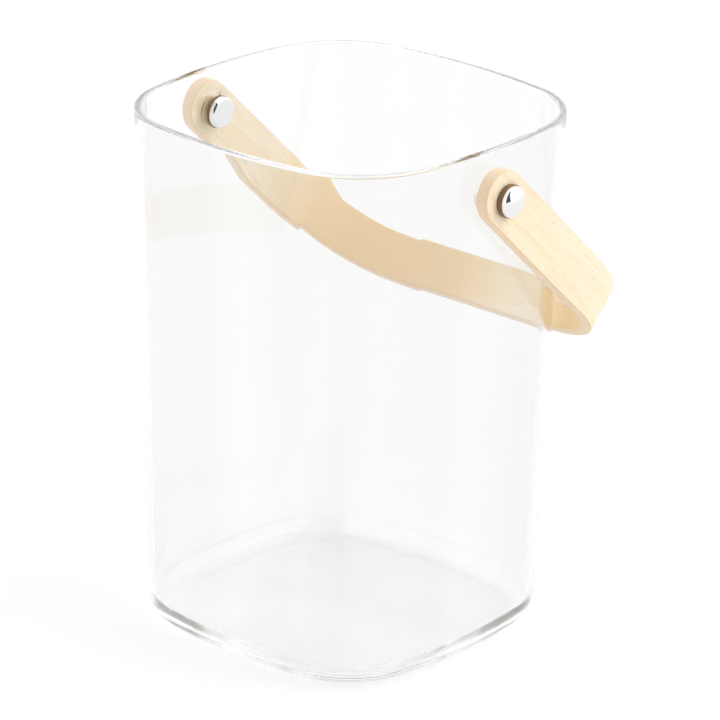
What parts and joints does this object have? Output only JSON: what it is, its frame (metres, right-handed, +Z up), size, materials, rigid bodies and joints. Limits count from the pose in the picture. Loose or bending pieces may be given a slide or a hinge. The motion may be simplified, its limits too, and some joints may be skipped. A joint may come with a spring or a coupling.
{
  "type": "ice bucket",
  "caption": "Clear glass ice bucket of rounded-square section, with a bentwood swing handle pivoted on chrome screws near the rim.",
  "frame": {"origin": "centre of the base on the surface it rests on, on the vessel's vertical axis", "axes": "+Z up along the vessel's axis; X along the handle's pivot axis; +Y towards the side on which the handle lies when lowered"},
  "size_m": [0.1614, 0.1516, 0.2],
  "materials": {
    "clear_glass": "polished",
    "birch": "satin clear lacquer",
    "chrome": "polished",
    "dark_rubber": "satin",
    "clear_silicone": "translucent",
    "natural_nylon": "satin"
  },
  "bodies": {
    "vessel": {"glass_vessel": "clear_glass", "left_domed_screw": "chrome", "left_barrel_nut": "chrome", "left_head_washer": "dark_rubber", "left_inner_washer": "dark_rubber", "left_spacer_washer": "clear_silicone", "left_hole_sleeve": "clear_silicone", "right_domed_screw": "chrome", "right_barrel_nut": "chrome", "right_head_washer": "dark_rubber", "right_inner_washer": "dark_rubber", "right_spacer_washer": "clear_silicone", "right_hole_sleeve": "clear_silicone"},
    "handle": {"handle_bow": "birch", "left_handle_bush": "natural_nylon", "right_handle_bush": "natural_nylon"}
  },
  "joints": [
    {"name": "handle_swing", "type": "hinge", "parent": "vessel", "child": "handle", "pos_m": [0, 0, 0.182], "axis": [1, 0, 0], "range_deg": [0, 265.6]}
  ]
}
